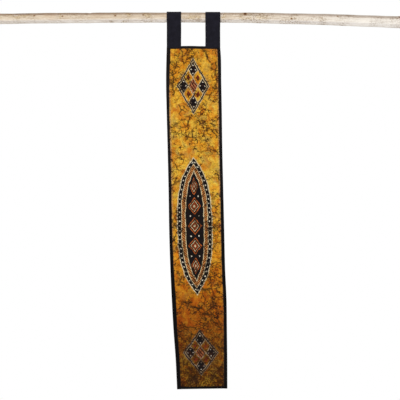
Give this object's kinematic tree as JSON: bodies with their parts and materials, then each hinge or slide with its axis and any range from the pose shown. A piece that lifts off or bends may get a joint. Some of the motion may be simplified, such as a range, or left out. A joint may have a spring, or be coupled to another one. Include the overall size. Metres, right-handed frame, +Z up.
{
  "type": "batik wall hanging with wooden rod",
  "caption": "Long narrow batik-dyed cotton wall hanging with bound edges and tab tops, looped over a pale, slightly crooked wooden rod.",
  "frame": {"origin": "on the rod's axis, above the middle of the panel's top edge, where the wall or ceiling fixing holds the rod", "axes": "+X along the rod to the right as seen from the front, +Y from the front of the cloth towards the wall, +Z up; the front of the cloth faces -Y"},
  "size_m": [1.5, 0.0392, 1.244],
  "materials": {
    "batik_cotton": "plain-woven cotton, wax-resist dyed in golden ochre with dark brown crackle, matt",
    "black_cotton": "plain-woven black cotton, folded and pressed, matt",
    "bleached_wood": "peeled and bleached natural pole, dry and unvarnished"
  },
  "bodies": {
    "root": {"rod": "bleached_wood", "panel": "batik_cotton", "binding_left": "black_cotton", "binding_right": "black_cotton", "binding_top": "black_cotton", "binding_bottom": "black_cotton", "tab_left": "black_cotton", "tab_right": "black_cotton"}
  },
  "joints": []
}
